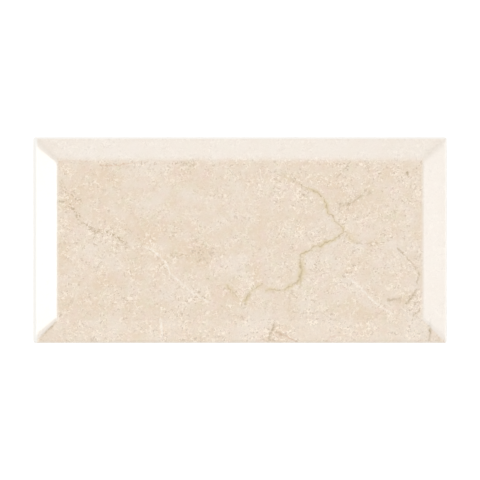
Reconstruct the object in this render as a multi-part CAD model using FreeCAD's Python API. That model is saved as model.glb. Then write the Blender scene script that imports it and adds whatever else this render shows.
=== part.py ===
# Bevelled subway wall tile of the 100 x 200 mm format: one piece, dust-pressed, glazed and fired.
# It lies on its back. X runs along its length, Y along its width, and Z up, out of the glazed face.
# The origin is the centre of the back, on the plane of the keying ribs. Sizes are in millimetres.
import FreeCAD
import Part
import os

# Outline, seen from the front
length = 199.0
width = 99.0
corner_radius = 1.0

# Glazed face: a flat raised field, framed by four bevels that meet in mitred corners
thickness = 7.5
edge_thickness = 4.5
bevel_width = 11.5
arris_radius = 6.0
rim_radius = 0.8

# Unglazed foot of the sides, which leans in towards the back so that the tile leaves its die
foot_height = 1.6
foot_inset = 0.8

# Keyed back: shallow cells between raised ribs, which the wall's adhesive grips
back_rim_width = 4.0
key_rib_width = 2.4
key_pitch = 12.0
key_depth = 0.7
key_wall_lean = 0.35
key_corner_cut = 1.2

UP = FreeCAD.Vector(0, 0, 1)


def frustum(base_x, base_y, top_x, top_y, height):
    """A block about the Z axis, from a rectangle at height 0 to a rectangle at that height."""
    block = Part.makeWedge(
        -base_x / 2, 0, -base_y / 2, -top_y / 2, -top_x / 2,
        base_x / 2, height, base_y / 2, top_y / 2, top_x / 2,
    )
    block.rotate(FreeCAD.Vector(0, 0, 0), FreeCAD.Vector(1, 0, 0), 90)
    return block


def rising_edges(shape):
    """The edges of a block that climb from its lower face to its upper one."""
    return [e for e in shape.Edges if e.BoundBox.ZLength > shape.BoundBox.ZLength / 2]


def bevelled_face():
    """The field and its bevels, which run on down to the plane of the back, with softened arrises."""
    run_on = bevel_width * edge_thickness / (thickness - edge_thickness)
    field_x, field_y = length - 2 * bevel_width, width - 2 * bevel_width
    planes = frustum(length + 2 * run_on, width + 2 * run_on, field_x, field_y, thickness)
    arrises = [e for e in planes.Edges if e.BoundBox.ZMax > thickness / 2]
    return planes.makeFillet(arris_radius, arrises)


def pressed_block():
    """The tile's sides with rounded corners, drawn in around the foot."""
    corner = FreeCAD.Vector(-length / 2, -width / 2, 0)
    block = Part.makeBox(length, width, thickness, corner)
    block = block.makeFillet(corner_radius, rising_edges(block))
    sole = [e for e in block.Edges if e.BoundBox.ZMax < foot_height / 2]
    return block.makeChamfer(foot_height, foot_inset, sole)


def round_the_rim(tile):
    """Rounds the outer edge of the face, where the glaze draws back over it."""
    fall = (thickness - edge_thickness) / bevel_width
    lowest = edge_thickness - rim_radius / 2
    highest = edge_thickness + fall * (corner_radius + arris_radius)
    rim = [e for e in tile.Edges if e.BoundBox.ZMin > lowest and e.BoundBox.ZMax < highest]
    return tile.makeFillet(rim_radius, rim)


def keying_cells():
    """The cells of the back as one compound. An even count each way leaves ribs across the centre."""
    span_x = length - 2 * (foot_inset + back_rim_width)
    span_y = width - 2 * (foot_inset + back_rim_width)
    count_x = 2 * max(1, round((span_x + key_rib_width) / (2 * key_pitch)))
    count_y = 2 * max(1, round((span_y + key_rib_width) / (2 * key_pitch)))
    pitch_x = (span_x + key_rib_width) / count_x
    pitch_y = (span_y + key_rib_width) / count_y
    mouth_x, mouth_y = pitch_x - key_rib_width, pitch_y - key_rib_width

    # The cutter reaches as far below the back as it goes in, so the mouth is at its middle
    cutter = frustum(
        mouth_x + 2 * key_wall_lean, mouth_y + 2 * key_wall_lean,
        mouth_x - 2 * key_wall_lean, mouth_y - 2 * key_wall_lean, 2 * key_depth,
    )
    cutter = cutter.makeChamfer(key_corner_cut, rising_edges(cutter))
    cutter.translate(-key_depth * UP)

    cells = []
    for column in range(count_x):
        for row in range(count_y):
            x = (column - (count_x - 1) / 2) * pitch_x
            y = (row - (count_y - 1) / 2) * pitch_y
            cells.append(cutter.translated(FreeCAD.Vector(x, y, 0)))
    return Part.makeCompound(cells)


def subway_tile():
    """The whole tile as one solid."""
    tile = pressed_block().common(bevelled_face())
    tile = round_the_rim(tile)
    return tile.cut(keying_cells()).Solids[0]


os.makedirs("parts", exist_ok=True)
wall_tile = subway_tile()
wall_tile.exportStep("parts/wall_tile.step")
print("wall_tile: valid", wall_tile.isValid(), "faces", len(wall_tile.Faces), "volume", round(wall_tile.Volume, 1))
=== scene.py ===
# Bevelled subway wall tile with a cream marble print. It lies on its back and is seen from above.
# X runs along the tile, Y across it and Z up, out of the glazed face. Lengths are in metres.
import math

import bmesh
import bpy
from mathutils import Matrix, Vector, noise


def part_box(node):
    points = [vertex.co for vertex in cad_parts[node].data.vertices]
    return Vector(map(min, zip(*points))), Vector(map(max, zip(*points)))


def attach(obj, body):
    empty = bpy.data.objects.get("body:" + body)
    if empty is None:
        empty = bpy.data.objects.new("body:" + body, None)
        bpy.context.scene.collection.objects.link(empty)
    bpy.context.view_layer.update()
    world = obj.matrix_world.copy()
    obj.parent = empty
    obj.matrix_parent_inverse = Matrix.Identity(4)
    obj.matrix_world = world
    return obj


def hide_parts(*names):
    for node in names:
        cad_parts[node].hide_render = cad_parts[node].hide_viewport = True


bl_info = {
    "name": "Bevelled Subway Tile",
    "version": (1, 0, 0),
    "blender": (4, 5, 0),
    "location": "View3D > Sidebar > Subway Tile",
    "description": "Models and finishes one bevelled wall tile with a cream marble print",
    "category": "Object",
}

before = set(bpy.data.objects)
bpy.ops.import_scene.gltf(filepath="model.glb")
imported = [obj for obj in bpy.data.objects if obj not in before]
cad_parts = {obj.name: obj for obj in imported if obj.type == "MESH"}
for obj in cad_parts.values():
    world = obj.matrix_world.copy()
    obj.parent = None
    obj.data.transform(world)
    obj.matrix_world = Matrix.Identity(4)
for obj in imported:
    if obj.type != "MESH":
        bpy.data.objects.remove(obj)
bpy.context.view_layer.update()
LOW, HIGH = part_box("wall_tile")
MM = 0.001

# Where the tile lies in the photograph's frame, in pixels
PHOTO_SIDE = 480
TILE_MIDDLE_PX = (240.1, 240.12)
TILE_LENGTH_PX = 413.9
PX_MM = (HIGH.x - LOW.x) / MM / TILE_LENGTH_PX

# How finely the mesh is cut: the long and short sides, the corners, and the arcs of the section. Then
# the distance within which vertices are one, and the one within which heights are the same.
DIVISIONS = (96, 48)
CORNER_STEPS = 6
CELL_CORNER_STEPS = 3
RIM_STEPS = 5
ROLL_STEPS = 4
BEVEL_STEPS = 6
ARRIS_STEPS = 6
MERGE_DISTANCE = 0.001 * MM
HEIGHT_SLACK = 0.01 * MM

# The slope at which the rim's tight arc takes over from the wide one
RIM_LEAN = math.radians(35)

# Softened edges of the back, and plain strips beside an arc or a grid
SOLE_SOFTENING = 0.15 * MM
CELL_SOFTENING = 0.12 * MM
BACK_MARGIN = 1.6 * MM
BEVEL_MARGIN = 0.4 * MM
FIELD_MARGIN = 0.6 * MM

# Swells in which the glaze's end strays up and down, and those of the waves on the face
LONG_STRAY, SHORT_STRAY = 9 * MM, 3.5 * MM
SHORT_STRAY_SHARE = 0.6
FACE_WAVE = 22 * MM

# Material slot of the bare body. The glaze has the first one, 0.
CLAY = 1


def length(name, description, millimetres):
    """A length, given in millimetres and kept in metres."""
    return bpy.props.FloatProperty(
        name=name, description=description, default=millimetres * MM, subtype="DISTANCE", precision=5,
    )


def swell(name, description, millimetres):
    """A size in the print's pattern, kept in millimetres."""
    return bpy.props.FloatProperty(name=name, description=description, default=millimetres, min=0.1)


def degree(name, description, share):
    """How far something shows, from 0 to 1."""
    return bpy.props.FloatProperty(
        name=name, description=description, default=share, min=0, max=1, subtype="FACTOR",
    )


def paint(name, description, *shade):
    """A colour, given in the 0 to 255 of a picture and kept as linear numbers."""
    shares = [c / 255 for c in shade]
    linear = [c / 12.92 if c <= 0.04045 else ((c + 0.055) / 1.055) ** 2.4 for c in shares]
    return bpy.props.FloatVectorProperty(
        name=name, description=description, default=linear, size=3, min=0, max=1, subtype="COLOR",
    )


class SubwayTileSizes(bpy.types.PropertyGroup):
    """Sizes of the tile. Its outline and thickness are the frame's."""

    edge_height: length("Edge height", "Where a bevel's plane meets the side", 4.5)
    bevel_width: length("Bevel width", "From the outline to the raised field", 11.5)
    corner_radius: length("Corner radius", "Upright corners of the outline", 1.0)
    arris_radius: length("Arris radius", "Softening between field and bevels", 6.0)
    mitre_radius: length("Mitre radius", "Turn of a contour where two bevels meet", 3.0)
    rim_radius: length("Rim radius", "Rounding from the face into the side", 0.8)
    roll_radius: length("Roll radius", "Gentle arc in which the face draws down to its rim", 4.2)
    glaze_height: length("Glaze edge height", "Where the glaze ends on the side", 2.7)
    glaze_depth: length("Glaze depth", "How far the glaze stands out from the body", 0.12)
    glaze_stray: length("Glaze stray", "How far its end on the side strays up and down", 0.5)
    glaze_wave: length("Glaze wave", "Depth of the faint waves on the face", 0.02)
    foot_height: length("Foot height", "Part of the side that leans in", 1.6)
    foot_inset: length("Foot inset", "How far the foot leans in", 0.8)
    back_rim_width: length("Back rim width", "Plain border round the cells", 4.0)
    key_rib_width: length("Rib width", "Raised rib between two cells", 2.4)
    key_pitch: length("Rib pitch", "Aimed distance from rib to rib", 12.0)
    key_depth: length("Cell depth", "Depth of the cells of the back", 0.7)
    key_wall_lean: length("Cell wall lean", "How far a cell's wall leans in", 0.35)
    key_corner: length("Cell corner", "Rounding of a cell's corners", 1.2)


class SubwayTilePattern(bpy.types.PropertyGroup):
    """The pattern of the marble print. Its sizes are in millimetres."""

    cloud: swell("Clouds", "Widest swells of pale and warm marble", 26.0)
    patch: swell("Patches", "Smaller swells of pale and warm marble", 7.0)
    tinge: swell("Tinges", "Swells of faint pink and green", 7.0)
    tinge_share: degree("Tinge strength", "How far the pink and green show", 0.8)
    zone: swell("Zones", "Swells in which the grain is busy or calm", 8.0)
    grain: swell("Grain", "Finest mottling", 1.1)
    curl: swell("Curls", "Wavy mottling", 2.8)
    dark_fleck: swell("Dark flecks", "Small dark marks", 1.4)
    pale_fleck: swell("Pale flecks", "Small light marks", 1.2)
    thread: swell("Threads", "Mesh of the thin light lines", 3.4)
    thread_gap: swell("Thread gaps", "Swells that break the light lines up", 1.8)
    speck: swell("Specks", "From one lone dark speck to the next", 2.8)
    vein_swell: swell("Vein swell", "Swells in which the veins stray", 1.5)
    vein_stray: swell("Vein stray", "How far the veins stray from their lines", 2.4)
    dot_swell: swell("Dotted vein swell", "Swells in which the dotted veins stray", 2.5)
    dot_stray: swell("Dotted vein stray", "How far the dotted veins stray", 4.0)
    # Painted highlight: how far the upper and the end bevels are lightened towards the glaze colour
    upper_bevel_highlight: degree("Thinning above", "How thin the print is on the upper bevel", 0.63)
    end_bevel_highlight: degree("Thinning at the ends", "How thin it is on the left and right bevels", 0.76)


class SubwayTileColours(bpy.types.PropertyGroup):
    """Colours of the glaze, its print and the fired body."""

    pale: paint("Pale marble", "Paler clouds of the print", 237, 224, 209)
    warm: paint("Warm marble", "Warmer clouds of the print", 232, 212, 188)
    rosy_marble: paint("Rosy marble", "Faint pink tinge of the print", 238, 215, 203)
    leafy_marble: paint("Leafy marble", "Faint green tinge of the print", 230, 221, 195)
    yellow_marble: paint("Yellow marble", "Glow beside the strongest veins", 223, 205, 164)
    pale_fleck: paint("Pale fleck", "Light flecks and short light lines", 253, 239, 221)
    sand_speck: paint("Sand speck", "Dark flecks and specks", 208, 190, 170)
    # The dark vein colour also paints shade along the upper mitres
    dark_vein_and_mitre_shade: paint("Dark vein", "Core of the veins", 186, 167, 137)
    rust_vein: paint("Rust vein", "Reddish hairlines", 214, 180, 152)
    white_vein: paint("White vein", "Calcite lines", 253, 244, 231)
    # The glaze colour is also what the left, right and upper bevels are lightened towards as painted
    # highlight
    glaze: paint("Thin print", "Glaze seen through thin print, and on the sides", 244, 238, 231)
    # Unprinted glaze along the rim, and painted highlight: it lightens the rim, widest on the left and
    # faintly below
    rim: paint("Bare glaze", "Glaze without print, along the rim", 248, 246, 241)
    body: paint("Fired body", "Unglazed back and foot", 226, 206, 180)
    pale_grog: paint("Pale grog", "Light grains in the body", 240, 229, 212)
    brown_grog: paint("Brown grog", "Iron grains in the body", 176, 140, 108)
    kiln_wash: paint("Kiln wash", "White dust on the ribs and the rim of the back", 242, 238, 231)


class SubwayTileStage(bpy.types.PropertyGroup):
    """The light that the tile is seen in."""

    sky: degree("Sky", "Strength of the even light from all round", 0.681)
    lamp_distance: length("Lamp distance", "From the tile to each soft lamp", 3000)
    floor: bpy.props.FloatVectorProperty(
        name="Floor", description="Colour of the floor", default=(0.7, 0.7, 0.7),
        size=3, min=0, max=1, subtype="COLOR",
    )
    floor_glow: degree("Floor glow", "What lifts the floor to white where it is seen or mirrored", 0.6)


class Ring:
    """One contour of the tile: a rectangle with rounded corners at some height."""

    def __init__(self, half, height, radius):
        self.half = half
        self.height = height
        self.radius = radius

    @classmethod
    def inside(cls, inset, height, radius):
        """A contour that lies inset from the tile's outline."""
        return cls((HIGH.x - inset, HIGH.y - inset), height, radius)

    def further_in(self, margin):
        """A rectangle with sharp corners that lies further in at the same height."""
        return Ring((self.half[0] - margin, self.half[1] - margin), self.height, 0)


def first_loop(bm, ring, divisions, arc_steps):
    """The edges of a contour. Each of its long and short sides is cut into even lengths."""
    corners = bmesh.ops.create_grid(bm, x_segments=1, y_segments=1, size=1)["verts"]
    bmesh.ops.scale(bm, vec=(*ring.half, 1), verts=corners)
    bmesh.ops.translate(bm, vec=(0, 0, ring.height), verts=corners)
    rounded = bmesh.ops.bevel(
        bm, geom=corners, affect="VERTICES", offset=ring.radius, offset_type="OFFSET",
        segments=arc_steps, profile=0.5, material=-1,
    )["verts"]
    bmesh.ops.delete(bm, geom=rounded[0].link_faces[:], context="FACES_ONLY")
    loop = list({e for v in rounded for e in v.link_edges})
    for axis, count in enumerate(divisions):
        sides = [e for e in loop if across(e, axis) > ring.half[axis]]
        cut = bmesh.ops.subdivide_edges(bm, edges=sides, cuts=count - 1)
        loop = list(set(loop) | {g for g in cut["geom"] if isinstance(g, bmesh.types.BMEdge)})
    return loop


def across(edge, axis):
    """How far an edge reaches along an axis."""
    return abs(edge.verts[0].co[axis] - edge.verts[1].co[axis])


def only_verts(geometry):
    """The vertices among what an operator returns."""
    return [g for g in geometry if isinstance(g, bmesh.types.BMVert)]


def move_to(verts, old, new):
    """Moves the vertices of one contour to another one. Arcs stay arcs and sides stay sides."""
    for v in verts:
        core, out = Vector((0, 0)), Vector((0, 0))
        for axis in (0, 1):
            reach = old.half[axis] - old.radius
            core[axis] = max(-reach, min(reach, v.co[axis]))
            out[axis] = (v.co[axis] - core[axis]) / old.radius
            core[axis] *= (new.half[axis] - new.radius) / reach
        v.co = (core.x + out.x * new.radius, core.y + out.y * new.radius, new.height)


def grow(bm, loop):
    """Extrudes a loop of edges in place. The new loop and its vertices are returned."""
    made = bmesh.ops.extrude_edge_only(bm, edges=loop)["geom"]
    edges = [g for g in made if isinstance(g, bmesh.types.BMEdge) and g.is_boundary]
    return edges, only_verts(made)


def climb(bm, loop, rings):
    """Walls through a list of contours, the first of which is the loop's own. The last loop is returned."""
    for old, new in zip(rings, rings[1:]):
        loop, verts = grow(bm, loop)
        move_to(verts, old, new)
    return loop


def merge(bm):
    """Welds vertices that lie in the same place."""
    bmesh.ops.remove_doubles(bm, verts=list(bm.verts), dist=MERGE_DISTANCE)


def blend(first, last, share):
    """A value that lies that share of the way from the first to the last."""
    return first + (last - first) * share


def bevel_slope(sizes):
    """The angle at which the bevels fall."""
    return math.atan((HIGH.z - sizes.edge_height) / sizes.bevel_width)


def rim_reach(sizes):
    """How far in from the outline the rim's two arcs end."""
    tight = sizes.rim_radius * (1 - math.sin(RIM_LEAN))
    return tight + sizes.roll_radius * (math.sin(RIM_LEAN) - math.sin(bevel_slope(sizes)))


def rim_contours(sizes):
    """The rim. The face draws down to it in a wide arc, then turns into the side in a tight one."""
    slope, end = bevel_slope(sizes), rim_reach(sizes)
    corner, rim, roll = sizes.corner_radius, sizes.rim_radius, sizes.roll_radius
    top = sizes.edge_height + end * math.tan(slope)
    shoulder = top - roll * (math.cos(slope) - math.cos(RIM_LEAN))
    rings = []
    for step in range(RIM_STEPS):
        lean = blend(math.pi / 2, RIM_LEAN, step / RIM_STEPS)
        height = shoulder - rim * (math.cos(RIM_LEAN) - math.cos(lean))
        rings.append(Ring.inside(rim * (1 - math.sin(lean)), height, corner))
    for step in range(ROLL_STEPS + 1):
        share = step / ROLL_STEPS
        lean = blend(RIM_LEAN, slope, share)
        inset = end - roll * (math.sin(lean) - math.sin(slope))
        height = top - roll * (math.cos(slope) - math.cos(lean))
        rings.append(Ring.inside(inset, height, blend(corner, sizes.mitre_radius, share)))
    return rings


def bevel_contours(sizes):
    """The plane part of the bevels, over which the turn of their mitres tightens."""
    slope, arris = bevel_slope(sizes), sizes.arris_radius
    first = rim_reach(sizes) + BEVEL_MARGIN
    last = sizes.bevel_width - arris * math.tan(slope / 2) * math.cos(slope) - BEVEL_MARGIN
    rings = []
    for step in range(BEVEL_STEPS + 1):
        share = step / BEVEL_STEPS
        inset = blend(first, last, share)
        radius = blend(sizes.mitre_radius, arris * math.sin(slope), share)
        rings.append(Ring.inside(inset, sizes.edge_height + inset * math.tan(slope), radius))
    return rings


def arris_contours(sizes):
    """The arc from the bevels into the field, and a strip of the field."""
    slope, arris = bevel_slope(sizes), sizes.arris_radius
    field_start = sizes.bevel_width + arris * math.tan(slope / 2)
    rings = []
    for step in range(ARRIS_STEPS):
        turn = blend(slope, 0, step / ARRIS_STEPS)
        reach = arris * math.sin(turn)
        rings.append(Ring.inside(field_start - reach, HIGH.z - arris * (1 - math.cos(turn)), reach))
    radius = arris * math.sin(slope / ARRIS_STEPS) / 2
    rings.append(Ring.inside(field_start, HIGH.z, radius))
    rings.append(Ring.inside(field_start + FIELD_MARGIN, HIGH.z, radius))
    return rings


def side_contours(sizes):
    """Contours of the bare side: the sole's softened edge, the foot and the upright band."""
    inset, depth, foot = sizes.foot_inset, sizes.glaze_depth, sizes.foot_height
    corner, soft = sizes.corner_radius, SOLE_SOFTENING
    sole_corner = corner - inset + soft
    rows = (
        (inset + 2 * soft, 0, sole_corner),
        (inset + soft, 0, sole_corner),
        (inset + soft / 3, soft / 2, sole_corner),
        (inset - soft / 3, 1.5 * soft, sole_corner),
        (depth + 2 * soft, foot - 2 * soft, corner),
        (depth + soft / 3, foot, corner),
        (depth, foot + soft, corner),
        (depth, sizes.glaze_height, corner),
    )
    return [Ring.inside(*row) for row in rows]


def glaze_edge_contours(sizes):
    """Contours of the bead that the glaze ends in on the side."""
    height, depth, corner = sizes.glaze_height, sizes.glaze_depth, sizes.corner_radius
    return [
        Ring.inside(depth, height, corner),
        Ring.inside(depth * 0.35, height + depth * 0.3, corner),
        Ring.inside(0, height + depth * 1.4, corner),
    ]


def add_grid(bm, half, segments, height):
    """A flat grid of faces about the Z axis."""
    made = bmesh.ops.create_grid(bm, x_segments=segments[0], y_segments=segments[1], size=1)["verts"]
    bmesh.ops.scale(bm, vec=(*half, 1), verts=made)
    bmesh.ops.translate(bm, vec=(0, 0, height), verts=made)


def ripple(point, size):
    """Smooth noise between -1 and 1, with swells of about that size."""
    return noise.noise(point / size)


def let_glaze_flow(bm, sizes):
    """Lets the glaze end unevenly on the sides, and lie in faint waves over the face."""
    bead_foot = sizes.glaze_height - HEIGHT_SLACK
    bead_top = sizes.glaze_height + 1.5 * sizes.glaze_depth
    for v in bm.verts:
        if bead_foot < v.co.z < bead_top:
            stray = ripple(v.co, LONG_STRAY) + SHORT_STRAY_SHARE * ripple(v.co, SHORT_STRAY)
            v.co.z += sizes.glaze_stray * stray
        elif v.co.z > sizes.edge_height:
            v.co.z -= sizes.glaze_wave * (0.5 + 0.5 * ripple(v.co, FACE_WAVE))


def sides_and_face(sizes, back_end):
    """The sides and the face as one mesh, open where the cells of the back belong."""
    bm = bmesh.new()
    side = side_contours(sizes)
    sole = first_loop(bm, side[0], DIVISIONS, CORNER_STEPS)
    glaze_edge = climb(bm, sole, side)
    climb(bm, sole, [side[0], back_end])
    bare = list(bm.faces)

    contours = glaze_edge_contours(sizes) + rim_contours(sizes) + bevel_contours(sizes)
    contours += arris_contours(sizes)
    field_end = contours[-1].further_in(FIELD_MARGIN)
    climb(bm, glaze_edge, contours + [field_end])
    add_grid(bm, field_end.half, DIVISIONS, field_end.height)
    merge(bm)
    let_glaze_flow(bm, sizes)
    for f in bare:
        f.material_index = CLAY
    return bm


def key_cell(pitch, sizes):
    """One cell of the back about the origin, with half a rib round it."""
    bm = bmesh.new()
    rib, depth, lean = sizes.key_rib_width, sizes.key_depth, sizes.key_wall_lean
    soft = CELL_SOFTENING
    mouth = (pitch[0] / 2 - rib / 2, pitch[1] / 2 - rib / 2)

    def contour(inset, height):
        return Ring((mouth[0] - inset, mouth[1] - inset), height, sizes.key_corner - inset / 2)

    rings = [
        contour(-2 * soft, 0),
        contour(-soft, 0),
        contour(soft / 2, soft / 2),
        contour(lean - soft, depth - 2 * soft),
        contour(lean + soft, depth - soft / 2),
        contour(lean + 3 * soft, depth),
    ]
    rim = first_loop(bm, rings[0], (1, 1), CELL_CORNER_STEPS)
    floor = climb(bm, rim, rings)
    bmesh.ops.contextual_create(bm, geom=floor)
    _, middles = grow(bm, rim)
    move_to(middles, rings[0], Ring((pitch[0] / 2, pitch[1] / 2), 0, 0))
    merge(bm)
    return bm


def spread_cells(bm, count, pitch):
    """Copies the one cell of a mesh to every place of its grid, and drops the first."""
    cell = bm.verts[:] + bm.edges[:] + bm.faces[:]
    for column in range(count[0]):
        for row in range(count[1]):
            copy = bmesh.ops.duplicate(bm, geom=cell)["geom"]
            place = ((column - (count[0] - 1) / 2) * pitch[0], (row - (count[1] - 1) / 2) * pitch[1], 0)
            bmesh.ops.translate(bm, vec=place, verts=only_verts(copy))
    bmesh.ops.delete(bm, geom=only_verts(cell), context="VERTS")
    merge(bm)


def keyed_back(sizes, half):
    """The back: cells between ribs, and a plain border out to a rectangle of that half size."""
    span = [2 * (HIGH[a] - sizes.foot_inset - sizes.back_rim_width) for a in (0, 1)]
    count = [2 * max(1, round((s + sizes.key_rib_width) / (2 * sizes.key_pitch))) for s in span]
    pitch = [(s + sizes.key_rib_width) / n for s, n in zip(span, count)]
    bm = key_cell(pitch, sizes)
    spread_cells(bm, count, pitch)

    border, corners = grow(bm, [e for e in bm.edges if e.is_boundary])
    reach = (count[0] * pitch[0] / 2, count[1] * pitch[1] / 2)
    bmesh.ops.scale(bm, vec=(half[0] / reach[0], half[1] / reach[1], 1), verts=corners)
    for axis in (0, 1):
        along = [e for e in border if across(e, axis) > pitch[axis] / 2]
        for edge in along:
            bmesh.ops.subdivide_edges(bm, edges=[edge], cuts=DIVISIONS[axis] // count[axis] - 1)
    for f in bm.faces:
        f.material_index = CLAY
    return bm


def add_mesh(bm, other):
    """Adds the second mesh to the first one, and frees it."""
    mesh = bpy.data.meshes.new("added")
    other.to_mesh(mesh)
    other.free()
    bm.from_mesh(mesh)
    bpy.data.meshes.remove(mesh)


def model_tile(sizes):
    """The whole tile as one closed mesh, with its faces in two material slots."""
    back_end = Ring.inside(sizes.foot_inset + BACK_MARGIN, 0, 0)
    bm = sides_and_face(sizes, back_end)
    add_mesh(bm, keyed_back(sizes, back_end.half))
    merge(bm)
    bmesh.ops.recalc_face_normals(bm, faces=list(bm.faces))
    for f in bm.faces:
        f.smooth = True
    return bm


class Shader:
    """The emptied node tree of a material or a world, and short ways to add nodes to it."""

    def __init__(self, owner):
        owner.use_nodes = True
        self.owner = owner
        self.tree = owner.node_tree
        self.tree.nodes.clear()

    def node(self, kind, inputs=None, **settings):
        """A node of that kind with its settings, and with numbers or links for its inputs."""
        made = self.tree.nodes.new("ShaderNode" + kind)
        for name, setting in settings.items():
            setattr(made, name, setting)
        for key, given in (inputs or {}).items():
            self.feed(made.inputs[key], given)
        return made

    def feed(self, socket, given):
        """Links a socket to another one, or gives it a value."""
        if isinstance(given, bpy.types.NodeSocket):
            self.tree.links.new(given, socket)
        elif socket.type == "RGBA":
            socket.default_value = (*given, 1)
        else:
            socket.default_value = given

    def finish(self, surface, output="OutputMaterial"):
        """Ends the tree in that surface. The material or world is returned."""
        self.node(output, {"Surface": surface})
        return self.owner

    def math(self, operation, first, second=0.0, third=0.0):
        """An operation on up to three numbers."""
        inputs = {0: first, 1: second, 2: third}
        return self.node("Math", inputs, operation=operation).outputs[0]

    def times(self, first, second):
        """The product of two numbers."""
        return self.math("MULTIPLY", first, second)

    def ramp(self, value, low, high, to_low=0.0, to_high=1.0):
        """The value eased from one range to another, and held outside it."""
        inputs = {"Value": value, "From Min": low, "From Max": high, "To Min": to_low, "To Max": to_high}
        return self.node("MapRange", inputs, interpolation_type="SMOOTHSTEP").outputs["Result"]

    def centred(self, value, depth):
        """Noise about 0.5 turned into noise about 0, that many times as deep."""
        return self.math("MULTIPLY_ADD", value, depth, -depth / 2)

    def curve(self, value, places, heights):
        """A height for the value, read off the straight lines between points at those places."""
        made = self.node("FloatCurve", {"Value": value})
        curve = made.mapping.curves[0]
        for place, height in zip(places[1:-1], heights[1:-1]):
            curve.points.new(place, height)
        curve.points[0].location = (places[0], heights[0])
        curve.points[-1].location = (places[-1], heights[-1])
        for point in curve.points:
            point.handle_type = "VECTOR"
        made.mapping.update()
        return made.outputs[0]

    def mix(self, factor, first, second):
        """Two colours mixed. Sockets 0, 6, 7 and 2 are the factor, the colours and the result."""
        inputs = {0: factor, 6: first, 7: second}
        return self.node("Mix", inputs, data_type="RGBA").outputs[2]

    def scaled(self, colour, level):
        """A colour made lighter or darker by a factor."""
        inputs = {0: colour, "Scale": level}
        return self.node("VectorMath", inputs, operation="SCALE").outputs[0]

    def vector_math(self, operation, *given):
        """An operation on up to three vectors."""
        return self.node("VectorMath", dict(enumerate(given)), operation=operation).outputs[0]

    def parts(self, vector):
        """The three numbers of a vector or a colour."""
        return self.node("SeparateXYZ", {0: vector}).outputs


class TileShader(Shader):
    """A new material of the tile. Its place is where on the tile a point lies, in millimetres."""

    def __init__(self, name, scene):
        super().__init__(bpy.data.materials.new(name))
        self.sizes = scene.subway_tile_sizes
        self.pattern = scene.subway_tile_pattern
        self.colours = scene.subway_tile_colours
        place = self.node("TexCoord").outputs["Object"]
        self.place = self.node("Mapping", {"Vector": place, "Scale": (1 / MM,) * 3}).outputs[0]

    def shifted(self, place, shift):
        """The place moved by a shift, where there is one."""
        return self.vector_math("ADD", place, shift) if shift else place

    def strayed(self, size, reach, shift=None):
        """The place moved about by noise, so that what is drawn there wanders."""
        inputs = {"Vector": self.place, "Scale": 1 / size, "Detail": 2.0, "Roughness": 0.6}
        drift = self.node("TexNoise", inputs).outputs["Color"]
        drift = self.vector_math("SUBTRACT", drift, (0.5, 0.5, 0.5))
        return self.shifted(self.vector_math("MULTIPLY_ADD", drift, (reach,) * 3, self.place), shift)

    def noise(self, size, detail=2.0, roughness=0.5, distortion=0.0, shift=None):
        """Smooth noise about 0.5, in swells of that many millimetres."""
        inputs = {
            "Vector": self.shifted(self.place, shift), "Scale": 1 / size, "Detail": detail,
            "Roughness": roughness, "Distortion": distortion,
        }
        return self.node("TexNoise", inputs).outputs["Fac"]

    def cells(self, place, size):
        """Scattered cells: the distance from a cell's middle, and two numbers that each cell keeps."""
        outputs = self.node("TexVoronoi", {"Vector": place, "Scale": 1 / size}).outputs
        first, second, _ = self.parts(outputs["Color"])
        return outputs["Distance"], first, second

    def attribute(self, name):
        """A value that the mesh carries at its vertices."""
        return self.node("Attribute", attribute_name=name).outputs["Fac"]

    def ceramic(self, colour, relief, roughness, ior, depth, strength=1.0):
        """Ends the tree in fired ware, with a fine relief that only shades it."""
        bump = self.node("Bump", {"Height": relief, "Distance": depth, "Strength": strength})
        inputs = {"Base Color": colour, "Roughness": roughness, "IOR": ior, "Normal": bump.outputs[0]}
        return self.finish(self.node("BsdfPrincipled", inputs).outputs[0])


def on_tile(x, y):
    """A point of the photograph's frame, in millimetres on the tile."""
    return Vector(((x - TILE_MIDDLE_PX[0]) * PX_MM, (TILE_MIDDLE_PX[1] - y) * PX_MM))


# The veins of the print, with two lines of painted shade along the upper mitres among the brown ones. Each
# has its half width in millimetres, then its points along one way: x and y in the photograph's frame, and
# its strength there.
OLIVE_VEINS = (
    (0.4, (281, 172, 0.3), (289, 179, 0.2), (296, 182, 0.3), (303, 186, 0.6), (310, 189, 0.7),
     (316, 192, 0.8), (323, 198, 0.95), (326, 204, 1)),
    (0.45, (326, 203, 1), (327, 210, 0.9), (328, 214, 1), (333, 216, 0.9), (334, 221, 0.8),
     (338, 224, 0.7), (342, 227, 0.7), (344, 231, 0.9)),
    (0.4, (344, 231, 1), (339, 236, 0.8), (333, 240, 0.8), (328, 242, 0.9), (324, 243, 0.8),
     (321, 246, 0.7), (317, 245, 0.8), (313, 247, 0.7), (311, 250, 0.7), (305, 252, 0.8), (300, 255, 0.8)),
    (0.7, (300.5, 254, 0.7), (300, 260, 0.7), (300.5, 266, 0.8), (301.5, 271, 0.9), (300, 276, 0.8),
     (298, 281, 0.8), (295, 285, 0.7)),
    (0.45, (295, 283, 0.9), (289, 287, 0.7), (283, 290, 0.6), (276, 290, 0.8), (270, 289, 0.6),
     (264, 292, 0.3)),
    (0.5, (263, 283, 0.7), (256, 288, 0.5), (250, 292, 0.45), (247, 297, 0.7), (245, 302, 0.7),
     (249, 307, 0.4)),
    (0.55, (345, 231, 0.6), (348, 236, 0.5), (352, 241, 0.4), (360, 243, 0.2)),
    (0.45, (225, 283, 0.4), (229, 288, 0.6), (235, 294, 0.6), (241, 299, 0.3)),
)
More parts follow.
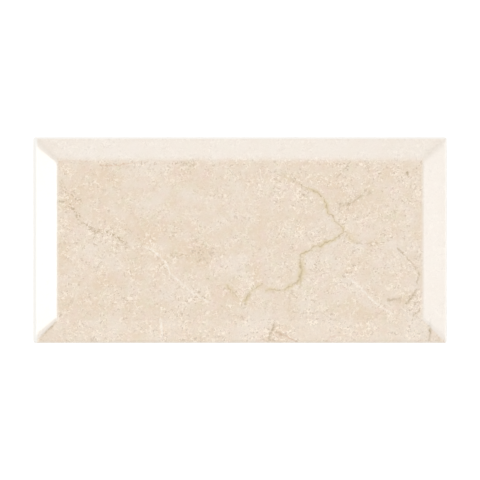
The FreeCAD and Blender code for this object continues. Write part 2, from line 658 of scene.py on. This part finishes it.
BROWN_VEINS_AND_MITRE_SHADE = (
    (0.4, (300, 273, 0.5), (301, 281, 0.5), (300, 289, 0.3)),
    (0.4, (356, 243, 0.3), (363, 244, 0.4), (370, 243, 0.6), (378, 242, 0.3)),
    (0.4, (396, 247, 0.8), (402, 253, 0.6), (408, 259, 0.7), (413, 265, 0.7), (417, 271, 0.4)),
    (0.5, (417, 270, 0.4), (419, 275, 0.8), (417, 281, 0.6), (417, 288, 0.2)),
    (0.4, (288, 290, 0.3), (290, 300, 0.25), (288, 310, 0.2)),
    (0.4, (288, 310, 0.2), (298, 313, 0.3), (309, 313, 0.3), (319, 312, 0.35), (326, 315, 0.2)),
    (0.4, (326, 315, 0.2), (330, 319, 0.3), (340, 322, 0.25), (348, 325, 0.1)),
    (0.45, (351, 161, 0.6), (347, 166, 0.45), (342, 172, 0.4), (337, 178, 0.2)),
    (1.0, (339, 205, 0.5), (346, 205, 0.8), (352, 202, 0.6), (358, 198, 0.6), (364, 194, 0.55),
     (372, 193, 0.4)),
    (1.1, (386, 300, 0.4), (392, 299, 0.8), (401, 301, 0.5)),
    (0.9, (405, 304, 0.7), (411, 298, 0.8), (415, 292, 0.6), (418, 288, 0.3)),
    (0.7, (412, 315, 0.8), (420, 310, 0.8)),
    (0.8, (407, 172, 1), (408, 178, 0.8)),
    (0.8, (430, 318, 0.8), (430, 323, 1), (430, 331, 1), (430, 336, 0.5), (429, 342, 0.6)),
    (0.7, (273, 321, 0.7), (274, 326, 1), (272, 331, 0.9), (270, 336, 0.6), (270, 342, 0.5)),
    (0.8, (275, 331, 0.6), (281, 334, 0.7), (287, 336, 0.5)),
    (0.35, (228, 168, 0.4), (232, 172, 0.8), (237, 177, 0.6), (236, 183, 0.2)),
    (0.7, (56, 321, 0.4), (53, 325, 0.9), (50, 328, 1), (47, 330, 1), (44, 333, 0.9), (40, 337, 0.3)),
    # Painted shade along the upper left and upper right mitres, where the bevels turn away from their lamps
    (1.2, (38, 141, 0.4), (46, 148, 0.3), (53, 154, 0.5), (58, 161, 0.4)),
    (1.3, (424, 158, 0.4), (430, 153, 0.45), (436, 148, 0.45), (442, 142, 0.4)),
)
DOTTED_VEINS = (
    (1.3, (60, 182, 0.7), (66, 191, 0.8), (72, 197, 0.8), (83, 203, 0.8)),
    (1.3, (59, 200, 0.8), (67, 201, 0.8), (71, 206, 1), (77, 212, 1), (80, 219, 0.9), (86, 225, 0.9),
     (92, 229, 1)),
    (1.3, (92, 229, 1), (97, 232, 1), (104, 232, 1), (110, 233, 1), (117, 237, 1), (123, 241, 1),
     (129, 245, 0.7)),
    (1.2, (120, 228, 0.6), (130, 232, 0.6), (140, 238, 0.4)),
    (1.5, (170, 254, 0.5), (180, 256, 0.6), (192, 254, 0.5)),
    (1.5, (199, 262, 0.7), (200, 254, 0.9), (204, 244, 0.6)),
    (1.2, (173, 163, 0.8), (184, 163, 0.9), (197, 168, 0.5)),
)
RUST_VEINS = (
    (0.4, (57, 162, 0.4), (70, 161, 0.4), (80, 161, 0.5), (92, 162, 0.3)),
    (0.4, (97, 165, 0.3), (103, 165, 0.6), (110, 166, 0.7), (120, 165, 0.6), (130, 163, 0.6),
     (146, 161, 0.3)),
    (0.5, (277, 332, 0.5), (284, 335, 0.8), (290, 338, 0.8), (297, 342, 0.6)),
    (0.4, (325, 342, 0.5), (330, 337, 0.5), (340, 335, 0.4), (360, 337, 0.2)),
    (0.8, (436, 329, 0.2), (441, 334, 0.4), (445, 341, 0.8)),
)
WHITE_VEINS = (
    (0.6, (143, 245, 0.3), (150, 249, 0.7), (157, 253, 0.9), (163, 260, 0.6), (168, 267, 0.8),
     (171, 275, 0.9)),
    (0.5, (171, 274, 0.9), (178, 280, 0.9), (185, 286, 0.6), (192, 292, 0.9), (198, 296, 0.6),
     (206, 300, 0.7), (213, 303, 0.3)),
    (0.6, (342, 273, 0.4), (349, 279, 0.6), (357, 284, 0.8), (364, 292, 0.9), (371, 299, 0.9),
     (382, 308, 0.7), (391, 313, 0.5), (402, 318, 0.3)),
    (0.8, (161, 318, 0.7), (162, 328, 1), (162, 339, 0.7)),
    (0.4, (225, 166, 0.5), (231, 170, 0.7), (238, 180, 0.3)),
)

# Clouds of the print: where each lies in the photograph's frame, how far it reaches along x and y in
# pixels, and how much paler (above 0) or warmer (below 0) it is than the ground.
CLOUDS = (
    (146, 166, 20, 9, 0.9), (165, 166, 8, 8, 0.5), (188, 196, 10, 8, 0.9), (236, 190, 7, 14, 0.4),
    (153, 198, 10, 12, 0.4), (216, 222, 12, 10, 0.5), (232, 236, 16, 8, 0.4), (236, 264, 9, 11, 1.3),
    (74, 213, 11, 7, 0.5), (106, 238, 11, 8, 0.4), (88, 254, 13, 14, 0.35), (176, 286, 16, 18, 0.5),
    (162, 295, 11, 8, 0.9), (90, 338, 12, 6, 0.6), (92, 326, 34, 9, 0.35), (243, 327, 20, 8, 0.5),
    (264, 314, 16, 12, 0.5), (306, 322, 28, 8, 0.5), (327, 260, 9, 9, 0.6), (352, 286, 18, 11, 0.6),
    (340, 294, 8, 8, 0.4), (326, 222, 10, 14, 0.3), (325, 199, 8, 7, 0.4), (360, 204, 10, 7, 0.5),
    (357, 246, 10, 12, 0.5), (375, 228, 14, 8, 0.3), (397, 184, 8, 14, 0.35), (391, 244, 12, 5, 0.9),
    (405, 253, 10, 6, 0.5), (391, 267, 10, 12, 0.3), (416, 288, 6, 12, 0.6), (417, 325, 14, 15, 1.1),
    (68, 172, 9, 6, -0.7), (80, 172, 14, 7, -0.3), (112, 180, 16, 10, -0.3), (74, 204, 16, 10, -0.8),
    (133, 196, 10, 6, -0.5), (98, 230, 10, 5, -0.6), (112, 230, 12, 10, -0.4), (141, 231, 30, 11, -0.8),
    (152, 240, 9, 6, -0.5), (67, 254, 8, 12, -0.9), (139, 263, 11, 16, -0.5), (103, 282, 11, 9, -0.9),
    (124, 282, 12, 8, -0.4), (76, 300, 16, 9, -0.45), (136, 303, 14, 9, -0.35), (194, 175, 18, 8, -0.5),
    (192, 224, 7, 7, -0.4), (182, 252, 10, 7, -0.6), (202, 252, 12, 12, -1.0), (238, 296, 18, 9, -0.5),
    (258, 180, 10, 7, -0.7), (255, 270, 7, 14, -0.9), (294, 182, 12, 10, -0.3), (294, 210, 6, 16, -0.25),
    (300, 229, 6, 6, -0.6), (288, 306, 9, 14, -0.4), (281, 329, 9, 5, -0.8), (276, 337, 12, 8, -0.7),
    (333, 184, 12, 12, -0.4), (348, 202, 20, 9, -0.5), (369, 242, 10, 5, -0.4), (331, 275, 7, 6, -0.5),
    (363, 266, 9, 9, -0.4), (360, 314, 28, 8, -0.6), (394, 321, 9, 9, -0.5), (399, 296, 12, 9, -0.4),
    (413, 262, 8, 10, -0.2),
)
CLOUD_STRENGTH = 1.5

# Where the print's grain is stronger (above 0) or calmer (below 0), given as for clouds
GRAIN = (
    (292, 184, 26, 16, 0.45), (352, 172, 24, 14, 0.3), (406, 172, 18, 14, 0.5), (318, 262, 20, 16, 0.4),
    (412, 298, 14, 14, 0.5), (108, 240, 22, 12, 0.3), (196, 296, 20, 12, 0.35), (290, 330, 20, 12, 0.3),
    (130, 190, 44, 20, -0.4), (190, 205, 44, 22, -0.45), (244, 214, 20, 18, -0.3), (262, 256, 14, 18, -0.5),
    (84, 270, 20, 14, -0.25), (243, 320, 18, 12, -0.2), (390, 262, 14, 12, -0.25),
)

# How fast a patch fades outwards, and how far a vein and an olive vein's glow reach in half widths
PATCH_FADE = 1.2
VEIN_REACH = 1.4
GLOW_REACH = 4.5

# Shifts in millimetres, which take patterns that would coincide from other parts of the same noise
TINGE_SHIFT = (0, 70.0, 0)
FLECK_SHIFT = (40.0, 40.0, 0)
SPECK_SHIFT = (80.0, 80.0, 0)
PALE_GROG_SHIFT = (20.0, 20.0, 20.0)
BROWN_GROG_SHIFT = (60.0, 60.0, 60.0)

# The bare glaze of the rim, with its painted highlight, is wider on the left, where a distance counts for
# only this share of itself.
# The painted highlight on both end bevels reaches this many millimetres past their mitres and arrises.
LEFT_RIM_HIGHLIGHT_SHARE = 0.36
BEVEL_HIGHLIGHT_OVERLAP = 0.8

# Soft edges in millimetres, from where each starts to where it ends: the painted highlight on the bevels,
# the turn of its strength at the upper mitres, the bare rim with its painted highlight and its lower side,
# and the print's end above the sides
BEVEL_HIGHLIGHT_EDGE = (-0.8, 1.4)
MITRE_TURN = (2.0, -2.0)
BARE_RIM_HIGHLIGHT_EDGE = (0.9, 0.5)
LOWER_RIM_HIGHLIGHT_EDGE = (0.9, 0.4)
PRINT_END = (4.2, 3.7)


def patches_at(x, y, patches):
    """What soft-edged patches, each a row of CLOUDS or GRAIN, add up to at a point in millimetres."""
    total = 0
    for middle_x, middle_y, reach_x, reach_y, strength in patches:
        middle = on_tile(middle_x, middle_y)
        away = math.hypot((x - middle.x) / (reach_x * PX_MM), (y - middle.y) / (reach_y * PX_MM))
        total += strength * math.exp(-(away ** 2) * PATCH_FADE)
    return total


def carry_patches(mesh):
    """Gives the mesh the clouds and the grain as values at its vertices, for the print to read."""
    for name, patches, strength in (("cloud_tone", CLOUDS, CLOUD_STRENGTH), ("print_grain", GRAIN, 1)):
        values = mesh.attributes.new(name, "FLOAT", "POINT").data
        for vertex, value in zip(mesh.vertices, values):
            value.value = strength * patches_at(vertex.co.x / MM, vertex.co.y / MM, patches)


def vein(tree, place, half_width, points):
    """How far a point is from a vein's line, in half widths, and the vein's strength beside it."""
    line = [on_tile(x, y) for x, y, _ in points]
    chord = line[-1] - line[0]
    along = chord.normalized()
    side = Vector((-along.y, along.x))
    offsets = [(p - line[0]).dot(side) for p in line]
    reach = 4 * max(half_width, *(abs(o) for o in offsets))

    # The line becomes a curve in a box on its chord: 0 to 1 along the chord, and about 0.5 across it
    box = {
        "Vector": place, "Location": (*(line[0] - side * reach / 2), 0),
        "Scale": (chord.length, reach, 1), "Rotation": (0, 0, math.atan2(along.y, along.x)),
    }
    turned = tree.node("Mapping", box, vector_type="TEXTURE").outputs[0]
    share, height = tree.parts(turned)[:2]
    shares = [(p - line[0]).dot(along) / chord.length for p in line]
    centre = tree.curve(share, shares, [0.5 + o / reach for o in offsets])
    gap = tree.math("ABSOLUTE", tree.math("SUBTRACT", height, centre))
    gap = tree.times(gap, reach / half_width)

    # The points' strengths are drawn in a little, so that the vein fades out at both ends
    inner = [0.02 + 0.96 * s for s in shares]
    strength = tree.curve(share, [0, *inner, 1], [0, *(p[2] for p in points), 0])
    return gap, strength


def vein_masks(tree, place, veins, spread=None):
    """The lines of some veins as a mask and, with a spread in half widths, the glow beside them."""
    line = glow = 0.0
    for half_width, *points in veins:
        gap, strength = vein(tree, place, half_width, points)
        line = tree.math("MAXIMUM", line, tree.times(tree.ramp(gap, VEIN_REACH, 0.0), strength))
        if spread:
            beside = tree.times(tree.ramp(gap, spread, 0.5), strength)
            glow = tree.math("MAXIMUM", glow, beside)
    return line, glow


def marble_ground(tree):
    """The ground of the print: pale and warm clouds, faintly tinged with pink and green."""
    pattern, colours = tree.pattern, tree.colours
    tone = tree.attribute("cloud_tone")
    for size, detail, depth in ((pattern.cloud, 1.0, 1.6), (pattern.patch, 2.5, 4.0)):
        tone = tree.math("ADD", tone, tree.centred(tree.noise(size, detail, 0.55), depth))
    colour = tree.mix(tree.math("MULTIPLY_ADD", tone, 0.5, 0.5), colours.warm, colours.pale)

    tinge = tree.noise(pattern.tinge, 3.0, 0.65, shift=TINGE_SHIFT)
    for end, tint in ((0.8, colours.rosy_marble), (0.2, colours.leafy_marble)):
        colour = tree.mix(tree.ramp(tinge, 0.5, end, 0, pattern.tinge_share), colour, tint)
    return colour


def grain_zones(tree):
    """How busy the grain is over the print."""
    zone = tree.ramp(tree.noise(tree.pattern.zone, 2.0), 0.36, 0.62, 0.3, 1.0)
    return tree.times(zone, tree.math("ADD", tree.attribute("print_grain"), 1.0))


def mottled(tree, colour, zone):
    """The colour with its grain and curls."""
    grain = tree.centred(tree.noise(tree.pattern.grain, 1.0, 0.6, 0.6), 0.12)
    curls = tree.centred(tree.noise(tree.pattern.curl, 2.0, 0.6, 1.5), 0.26)
    return tree.scaled(colour, tree.math("MULTIPLY_ADD", tree.math("ADD", grain, curls), zone, 1.0))


def flecked(tree, colour, zone):
    """The colour with dark flecks, and with pale flecks and short pale threads."""
    pattern, colours = tree.pattern, tree.colours
    dark = tree.ramp(tree.noise(pattern.dark_fleck, 1.0, 0.5, 1.2, FLECK_SHIFT), 0.58, 0.67, 0, 0.85)
    colour = tree.mix(tree.times(dark, zone), colour, colours.sand_speck)

    pale = tree.ramp(tree.noise(pattern.pale_fleck, 1.0, 0.5, 1.2), 0.58, 0.66)
    thread = tree.math("ABSOLUTE", tree.centred(tree.noise(pattern.thread, 1.5, 0.5, 1.0), 1.0))
    broken = tree.ramp(tree.noise(pattern.thread_gap, 1.0, shift=FLECK_SHIFT), 0.51, 0.57, 0, 0.9)
    thread = tree.times(tree.ramp(thread, 0.042, 0.01), broken)
    pale = tree.times(tree.math("MAXIMUM", pale, thread), zone)
    return tree.mix(pale, colour, colours.pale_fleck)


def specked(tree, colour):
    """The colour with lone dark specks, each of its own size and strength."""
    distance, size, strength = tree.cells(tree.strayed(0.8, 1.8, SPECK_SHIFT), tree.pattern.speck)
    distance = tree.math("SUBTRACT", distance, tree.times(size, 0.2))
    speck = tree.times(tree.ramp(distance, 0.03, -0.09), strength)
    return tree.mix(speck, colour, tree.colours.sand_speck)


def veined(tree, colour):
    """The colour with its veins and painted shade along the upper mitres. The olive ones lie in a patchy
    glow, and the last ones are dotted.
    """
    pattern, colours = tree.pattern, tree.colours
    strayed = tree.strayed(pattern.vein_swell, pattern.vein_stray)
    olive, glow = vein_masks(tree, strayed, OLIVE_VEINS, GLOW_REACH)
    patchy = tree.ramp(tree.noise(5.0, 1.0), 0.38, 0.6, 0.3, 0.85)
    colour = tree.mix(tree.times(glow, patchy), colour, colours.yellow_marble)

    ragged = tree.ramp(tree.noise(1.5, 2.0, 0.6), 0.38, 0.6, 0.4, 1.0)
    for line, tint in (
        (tree.times(olive, 0.92), colours.dark_vein_and_mitre_shade),
        # The brown lines include painted shade along the upper mitres
        (vein_masks(tree, strayed, BROWN_VEINS_AND_MITRE_SHADE)[0], colours.dark_vein_and_mitre_shade),
        (vein_masks(tree, strayed, RUST_VEINS)[0], colours.rust_vein),
        (vein_masks(tree, strayed, WHITE_VEINS)[0], colours.white_vein),
    ):
        colour = tree.mix(tree.times(line, ragged), colour, tint)

    strayed = tree.strayed(pattern.dot_swell, pattern.dot_stray)
    dots = tree.ramp(tree.noise(1.1, 1.0), 0.49, 0.61, 0.0, 0.78)
    dotted = tree.times(vein_masks(tree, strayed, DOTTED_VEINS)[0], dots)
    return tree.mix(dotted, colour, colours.dark_vein_and_mitre_shade)


def marble_print(tree):
    """The colour of the print over the tile's face."""
    zone = grain_zones(tree)
    colour = mottled(tree, marble_ground(tree), zone)
    colour = specked(tree, flecked(tree, colour, zone))
    return veined(tree, colour)


def from_sides(tree, x, y):
    """How far a point is from the left, right, lower and upper sides, in millimetres."""
    distances = []
    for value, half in ((x, HIGH.x / MM), (y, HIGH.y / MM)):
        distances += [tree.math("ADD", value, half), tree.math("SUBTRACT", half, value)]
    return distances


def painted_bevel_highlight(tree, sides):
    """Painted highlight: how far the print is lightened towards the glaze colour over the left, right and
    upper bevels, as far as their mitres.
    """
    left, right, lower, upper = sides
    width, pattern = tree.sizes.bevel_width / MM, tree.pattern
    ends = tree.math("MINIMUM", left, right)
    soft_upper = tree.math("MULTIPLY_ADD", upper, 0.5, 0.5 * width)
    others = tree.math("MINIMUM", tree.math("SUBTRACT", ends, BEVEL_HIGHLIGHT_OVERLAP), soft_upper)
    gap = tree.math("SUBTRACT", tree.math("MINIMUM", lower, width), others)
    past_mitre = tree.math("SUBTRACT", ends, upper)
    most = tree.ramp(past_mitre, *MITRE_TURN, pattern.upper_bevel_highlight, pattern.end_bevel_highlight)
    return tree.times(tree.ramp(gap, *BEVEL_HIGHLIGHT_EDGE), most)


def bare_rim_and_painted_highlight(tree, sides):
    """Where the glaze is bare along the rim, and painted highlight there: wider on the left and faintly on
    the lower side.
    """
    left, right, lower, upper = sides
    edge = tree.math("MINIMUM", upper, right)
    edge = tree.math("MINIMUM", tree.times(left, LEFT_RIM_HIGHLIGHT_SHARE), edge)
    faint = tree.ramp(lower, *LOWER_RIM_HIGHLIGHT_EDGE, 0, 0.4)
    return tree.math("MAXIMUM", tree.ramp(edge, *BARE_RIM_HIGHLIGHT_EDGE), faint)


def marble_glaze(scene):
    """The glossy glaze with its printed marble, and painted highlight on the bevels and along the rim."""
    tree = TileShader("marble_glaze", scene)
    colours = tree.colours
    x, y, z = tree.parts(tree.place)
    sides = from_sides(tree, x, y)
    # Painted highlight: the print mixed towards the glaze colour on the left, right and upper bevels
    colour = tree.mix(painted_bevel_highlight(tree, sides), marble_print(tree), colours.glaze)
    # Bare glaze along the rim, with painted highlight widest on the left
    colour = tree.mix(bare_rim_and_painted_highlight(tree, sides), colour, colours.rim)
    colour = tree.mix(tree.ramp(z, *PRINT_END), colour, colours.glaze)
    relief = tree.math("MULTIPLY_ADD", tree.noise(1.8, 1.0), 0.06, tree.noise(9.0, 1.0))
    return tree.ceramic(colour, relief, roughness=0.18, ior=1.5, depth=0.03 * MM)


def with_grog(tree, colour, tint, shift, size):
    """The body's colour with coarse grains of another clay."""
    distance, amount, _ = tree.cells(tree.strayed(0.7, 0.8, shift), size)
    grog = tree.ramp(tree.math("MULTIPLY_ADD", amount, -0.22, distance), 0.03, -0.08)
    return tree.mix(tree.times(grog, 0.55), colour, tint)


def with_kiln_wash(tree, colour):
    """The body's colour with a white dust on what stands proud of the back."""
    height = tree.parts(tree.place)[2]
    dust = tree.ramp(tree.noise(3.0, 4.0, 0.7), 0.42, 0.62, 0, 0.65)
    dust = tree.times(dust, tree.ramp(height, 0.25, 0.05))
    return tree.mix(dust, colour, tree.colours.kiln_wash)


def fired_body(scene):
    """The unglazed clay of the foot and the back."""
    tree = TileShader("fired_body", scene)
    colours = tree.colours
    grain = tree.noise(0.6, 4.0, 0.7)
    level = tree.math("ADD", tree.centred(tree.noise(24.0, 2.0), 0.14), tree.centred(grain, 0.3))
    colour = tree.scaled(colours.body, tree.math("ADD", level, 1.0))
    colour = with_grog(tree, colour, colours.pale_grog, PALE_GROG_SHIFT, 1.6)
    colour = with_grog(tree, colour, colours.brown_grog, BROWN_GROG_SHIFT, 2.6)
    colour = with_kiln_wash(tree, colour)
    return tree.ceramic(colour, grain, roughness=0.85, ior=1.45, depth=0.12 * MM, strength=0.8)


class SUBWAYTILE_OT_tile(bpy.types.Operator):
    """Models the fired tile, finishes its glaze and its back, and puts it in place of the plain one"""

    bl_idname = "subway_tile.tile"
    bl_label = "Fired tile"

    def execute(self, context):
        scene = context.scene
        bm = model_tile(scene.subway_tile_sizes)
        mesh = bpy.data.meshes.new("fired_tile")
        bm.to_mesh(mesh)
        bm.free()
        carry_patches(mesh)
        mesh.materials.append(marble_glaze(scene))
        mesh.materials.append(fired_body(scene))
        tile = bpy.data.objects.new("fired_tile", mesh)
        scene.collection.objects.link(tile)
        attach(tile, "root")
        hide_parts("wall_tile")
        return {"FINISHED"}


# Soft lamps: the way each stands from the tile and its tilt off the vertical, in degrees; its size across
# and up the tilt, in metres; and its radiance. One shines in each bevel, and the low ones in the rims.
LAMPS = (
    ("lamp_left", 180, 29.0, (0.5, 0.95), 10.0),
    ("lamp_left_low", 180, 64.0, (0.8, 1.9), 0.8),
    ("lamp_right", 0, 31.5, (0.5, 0.9), 2.5),
    ("lamp_right_low", 0, 62.0, (0.8, 1.9), 2.6),
    ("lamp_upper", 90, 31.9, (0.62, 0.5), 1.15),
    ("lamp_upper_low", 90, 58.0, (0.9, 1.6), 1.0),
    ("lamp_lower", -90, 31.9, (0.62, 0.5), 1.2),
)

# Half the floor's side in metres, and the camera's lens and sensor in millimetres
FLOOR_REACH = 6
LENS_MM = 200
SENSOR_MM = 36


def soft_lamp(scene, distance, name, towards, tilt, size, radiance):
    """An area lamp that looks down at the tile. Its power gives that radiance over its face."""
    lamp = bpy.data.lights.new(name, "AREA")
    lamp.shape = "RECTANGLE"
    lamp.size, lamp.size_y = size
    lamp.energy = radiance * math.pi * size[0] * size[1]
    ob = bpy.data.objects.new(name, lamp)
    scene.collection.objects.link(ob)
    towards, tilt = math.radians(towards), math.radians(tilt)
    aim = Vector((
        math.cos(towards) * math.sin(tilt), math.sin(towards) * math.sin(tilt), math.cos(tilt)
    ))
    ob.location = aim * distance
    ob.rotation_euler = aim.to_track_quat("Z", "Y").to_euler()
    ob.visible_camera = False


def seen_or_mirrored(tree):
    """1 for what is seen, by itself or in gloss or glass, and 0 for light on its way to things."""
    path = tree.node("LightPath").outputs
    seen = tree.math("MAXIMUM", path["Is Camera Ray"], path["Is Glossy Ray"])
    return tree.math("MAXIMUM", seen, path["Is Transmission Ray"])


def pale_floor(stage):
    """A matt floor, which a glow lifts to white where it is seen, so that the shadow on it still shows."""
    tree = Shader(bpy.data.materials.new("pale_floor"))
    plain = tree.node("BsdfDiffuse", {"Color": stage.floor})
    strength = tree.times(seen_or_mirrored(tree), stage.floor_glow)
    glow = tree.node("Emission", {"Strength": strength})
    both = tree.node("AddShader", {0: plain.outputs[0], 1: glow.outputs[0]})
    return tree.finish(both.outputs[0])


def white_sky(stage):
    """Even light from all round, which is white where it is seen."""
    tree = Shader(bpy.data.worlds.new("sky"))
    strength = tree.math("MULTIPLY_ADD", seen_or_mirrored(tree), 1 - stage.sky, stage.sky)
    sky = tree.node("Background", {"Color": (1, 1, 1), "Strength": strength})
    return tree.finish(sky.outputs[0], "OutputWorld")


class SUBWAYTILE_OT_stage(bpy.types.Operator):
    """Lays the pale floor and sets up the soft lamps, the sky and the camera straight above"""

    bl_idname = "subway_tile.stage"
    bl_label = "Stage"

    def execute(self, context):
        scene = context.scene
        stage = scene.subway_tile_stage
        self.lay_floor(scene, stage)
        scene.world = white_sky(stage)
        for lamp in LAMPS:
            soft_lamp(scene, stage.lamp_distance, *lamp)
        self.place_camera(scene)
        scene.view_settings.view_transform = "Standard"
        return {"FINISHED"}

    def lay_floor(self, scene, stage):
        """Puts a wide floor under the tile."""
        bm = bmesh.new()
        add_grid(bm, (FLOOR_REACH, FLOOR_REACH), (1, 1), 0)
        mesh = bpy.data.meshes.new("floor")
        bm.to_mesh(mesh)
        bm.free()
        mesh.materials.append(pale_floor(stage))
        floor = bpy.data.objects.new("floor", mesh)
        scene.collection.objects.link(floor)

    def place_camera(self, scene):
        """Puts the camera where the rim's plane fills the frame as it does in the photograph."""
        lens = bpy.data.cameras.new("camera")
        lens.lens = LENS_MM
        lens.sensor_width = SENSOR_MM
        camera = bpy.data.objects.new("camera", lens)
        scene.collection.objects.link(camera)
        seen = PHOTO_SIDE * PX_MM * MM
        middle = on_tile(PHOTO_SIDE / 2, PHOTO_SIDE / 2) * MM
        edge_height = scene.subway_tile_sizes.edge_height
        camera.location = (*middle, edge_height + seen * LENS_MM / SENSOR_MM)
        scene.camera = camera


# What the panel lists: each group's name on the scene, its title and its class, and then the steps
GROUPS = (
    ("subway_tile_sizes", "Sizes", SubwayTileSizes),
    ("subway_tile_pattern", "Pattern", SubwayTilePattern),
    ("subway_tile_colours", "Colours", SubwayTileColours),
    ("subway_tile_stage", "Stage", SubwayTileStage),
)
STEPS = (SUBWAYTILE_OT_tile, SUBWAYTILE_OT_stage)


class SUBWAYTILE_PT_panel(bpy.types.Panel):
    """Lists the tile's sizes, pattern, colours and light, and the steps that make it"""

    bl_idname = "SUBWAYTILE_PT_panel"
    bl_label = "Subway Tile"
    bl_space_type = "VIEW_3D"
    bl_region_type = "UI"
    bl_category = "Subway Tile"

    def draw(self, context):
        for name, title, _ in GROUPS:
            group = getattr(context.scene, name)
            box = self.layout.box()
            box.label(text=title)
            for value in group.__annotations__:
                box.prop(group, value)
        for step in STEPS:
            self.layout.operator(step.bl_idname)


def register():
    """Registers every class, and gives the scene its groups."""
    for name, _, group in GROUPS:
        bpy.utils.register_class(group)
        setattr(bpy.types.Scene, name, bpy.props.PointerProperty(type=group))
    for step in STEPS:
        bpy.utils.register_class(step)
    bpy.utils.register_class(SUBWAYTILE_PT_panel)


def unregister():
    """Takes back what register does, in the opposite order."""
    bpy.utils.unregister_class(SUBWAYTILE_PT_panel)
    for step in reversed(STEPS):
        bpy.utils.unregister_class(step)
    for name, _, group in reversed(GROUPS):
        delattr(bpy.types.Scene, name)
        bpy.utils.unregister_class(group)


def main():
    """Makes the tile and its stage."""
    register()
    bpy.ops.subway_tile.tile()
    bpy.ops.subway_tile.stage()


if __name__ == "__main__":
    main()
